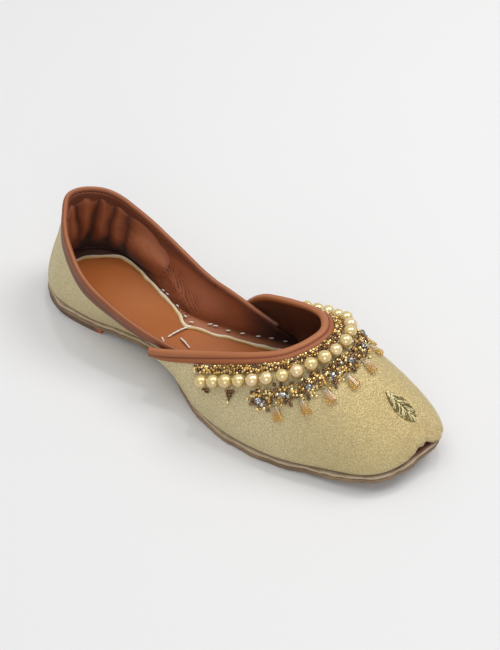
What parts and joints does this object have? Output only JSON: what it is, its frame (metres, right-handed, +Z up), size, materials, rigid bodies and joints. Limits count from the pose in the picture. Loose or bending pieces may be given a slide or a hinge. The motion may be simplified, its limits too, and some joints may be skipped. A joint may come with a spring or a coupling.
{
  "type": "mojari shoe",
  "caption": "Low slip-on mojari shoe for the right foot: pointed vamp, open waist, high heel quarter, leather bindings, pearl and bead trim round the throat, and a thin leather sole.",
  "frame": {"origin": "centre of the heel's flat spot on the floor", "axes": "+X along the foot to the toe, +Y to the inner side of the foot, +Z up"},
  "size_m": [0.2505, 0.0843, 0.0591],
  "materials": {
    "gold_leather": "pale gold metallic-coated leather, fine grain",
    "brown_leather": "smooth brown leather binding, satin",
    "lining_leather": "soft brown lining leather, matt",
    "sock_leather": "orange-brown insole leather, matt",
    "pale_sole": "pale raw edge leather",
    "tan_sole": "tan sole leather, burnished edge",
    "dark_sole": "dark stacked heel lift",
    "pearl": "cream pearl bead",
    "beads": "antique gold bead work with small clear stones",
    "crystal": "champagne cut drops",
    "metal_thread": "silver-gold metallic thread embroidery"
  },
  "bodies": {
    "root": {"heel_lift": "dark_sole", "outsole": "tan_sole", "midsole": "pale_sole", "insole": "lining_leather", "sock": "sock_leather", "upper": "gold_leather", "quarter_binding": "brown_leather", "vamp_binding": "brown_leather", "heel_pad": "lining_leather", "bead_band": "beads", "pearl_1": "pearl", "pearl_2": "pearl", "pearl_3": "pearl", "pearl_4": "pearl", "pearl_5": "pearl", "pearl_6": "pearl", "pearl_7": "pearl", "pearl_8": "pearl", "pearl_9": "pearl", "pearl_10": "pearl", "pearl_11": "pearl", "pearl_12": "pearl", "pearl_13": "pearl", "pearl_14": "pearl", "pearl_15": "pearl", "pearl_16": "pearl", "pearl_17": "pearl", "pearl_18": "pearl", "pearl_19": "pearl", "flower_1": "beads", "flower_2": "beads", "flower_3": "beads", "flower_4": "beads", "flower_5": "beads", "flower_6": "beads", "flower_7": "beads", "flower_8": "beads", "drop_1": "crystal", "drop_2": "crystal", "drop_3": "crystal", "drop_4": "crystal", "drop_5": "crystal", "drop_6": "crystal", "drop_7": "crystal", "toe_leaf": "metal_thread"}
  },
  "joints": []
}
